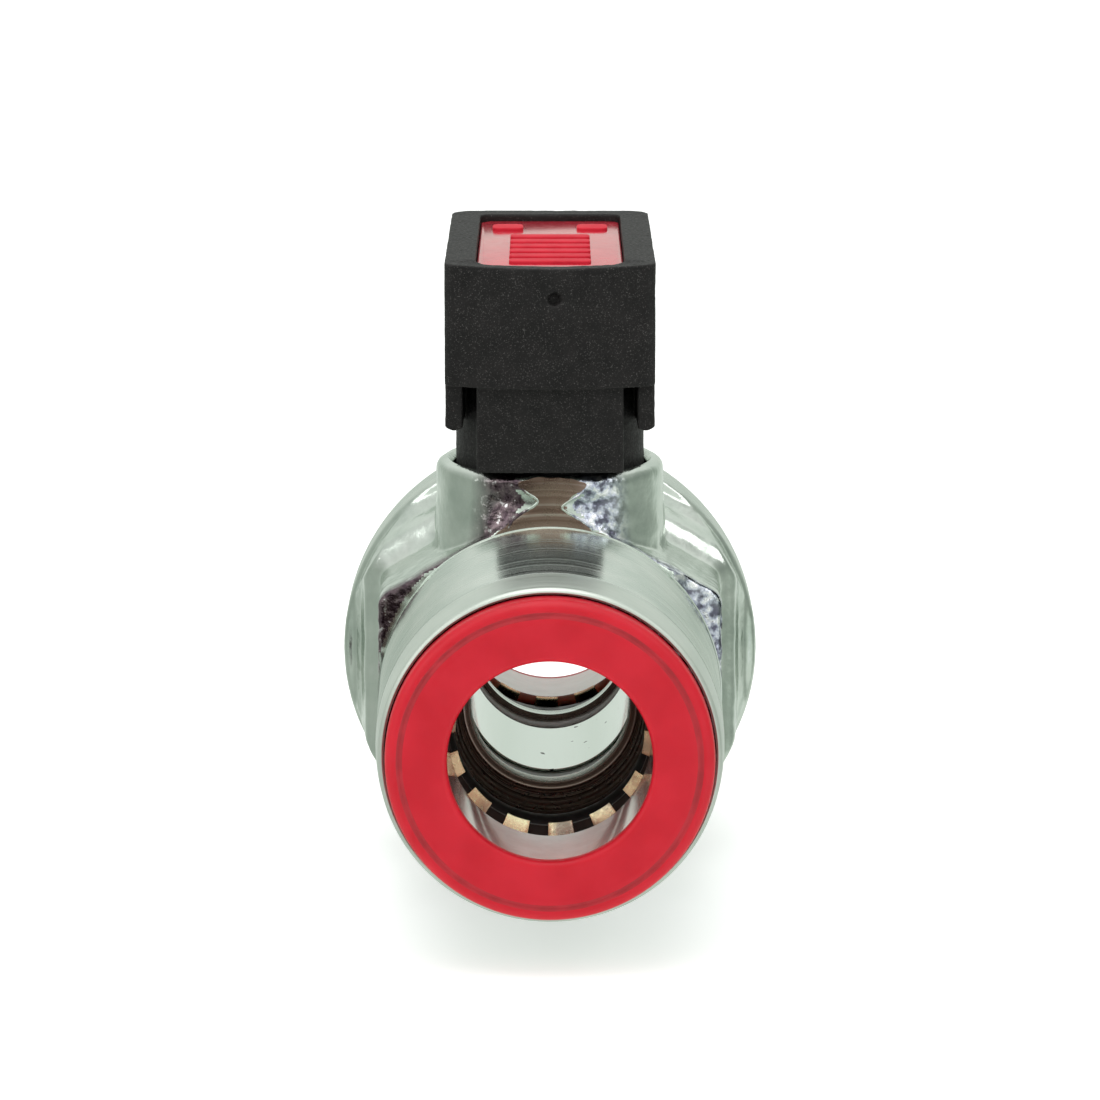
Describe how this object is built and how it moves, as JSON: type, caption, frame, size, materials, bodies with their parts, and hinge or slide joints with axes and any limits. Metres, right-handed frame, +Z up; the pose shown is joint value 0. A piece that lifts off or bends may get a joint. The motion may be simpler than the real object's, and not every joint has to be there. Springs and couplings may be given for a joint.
{
  "type": "push-in inline ball valve",
  "caption": "Inline quarter-turn ball valve with push-in release collets at both ends, plated brass body and a short black lever with a red inlay",
  "frame": {"origin": "centre of the ball, where the flow axis crosses the stem axis", "axes": "+Y runs along the flow from the front socket to the rear socket; +Z is up the stem to the lever; +X is to the right seen from the front socket"},
  "size_m": [0.027, 0.0472, 0.0409],
  "materials": {
    "plated_brass": "nickel-plated forged and turned brass, bright",
    "turned_brass": "turned bare brass",
    "red_acetal": "satin moulded acetal",
    "black_nylon": "glass-filled nylon, matte as moulded",
    "filled_ptfe": "turned carbon-filled PTFE",
    "white_ptfe": "turned PTFE",
    "black_nitrile": "moulded nitrile rubber",
    "spring_steel": "stamped stainless spring steel",
    "zinc_steel": "zinc-plated steel",
    "amber_polymer": "moulded polymer, slightly translucent"
  },
  "bodies": {
    "valve": {"valve_body": "plated_brass", "rear_connector": "plated_brass", "connector_seal": "black_nitrile", "seat_front": "filled_ptfe", "seat_rear": "filled_ptfe", "stem_washer": "white_ptfe", "front_retaining_sleeve": "turned_brass", "front_claw_ring": "spring_steel", "front_support_ring": "amber_polymer", "front_tube_seal": "black_nitrile", "rear_retaining_sleeve": "turned_brass", "rear_claw_ring": "spring_steel", "rear_support_ring": "amber_polymer", "rear_tube_seal": "black_nitrile"},
    "handle": {"lever": "black_nylon", "lever_screw": "zinc_steel", "lever_washer": "zinc_steel", "badge_insert": "red_acetal", "stem": "turned_brass", "stem_oring_lower": "black_nitrile", "stem_oring_upper": "black_nitrile"},
    "ball": {"ball": "plated_brass"},
    "front_release": {"front_collet": "red_acetal"},
    "rear_release": {"rear_collet": "red_acetal"}
  },
  "joints": [
    {"name": "lever_turn", "type": "hinge", "parent": "valve", "child": "handle", "pos_m": [0, 0, 0.012], "axis": [0, 0, 1], "range_deg": [-90, 0]},
    {"name": "ball_turn", "type": "hinge", "parent": "valve", "child": "ball", "pos_m": [0, 0, 0], "axis": [0, 0, 1], "range_deg": [-90, 0]},
    {"name": "front_collet_slide", "type": "slide", "parent": "valve", "child": "front_release", "axis": [0, 1, 0], "range_m": [0, 0.0011], "stiffness_N_per_m": 300, "springref_m": -0.0003},
    {"name": "rear_collet_slide", "type": "slide", "parent": "valve", "child": "rear_release", "axis": [0, -1, 0], "range_m": [0, 0.0011], "stiffness_N_per_m": 300, "springref_m": -0.0003}
  ],
  "couplings": [
    {"joint": "ball_turn", "follows": "lever_turn", "ratio": 1}
  ]
}
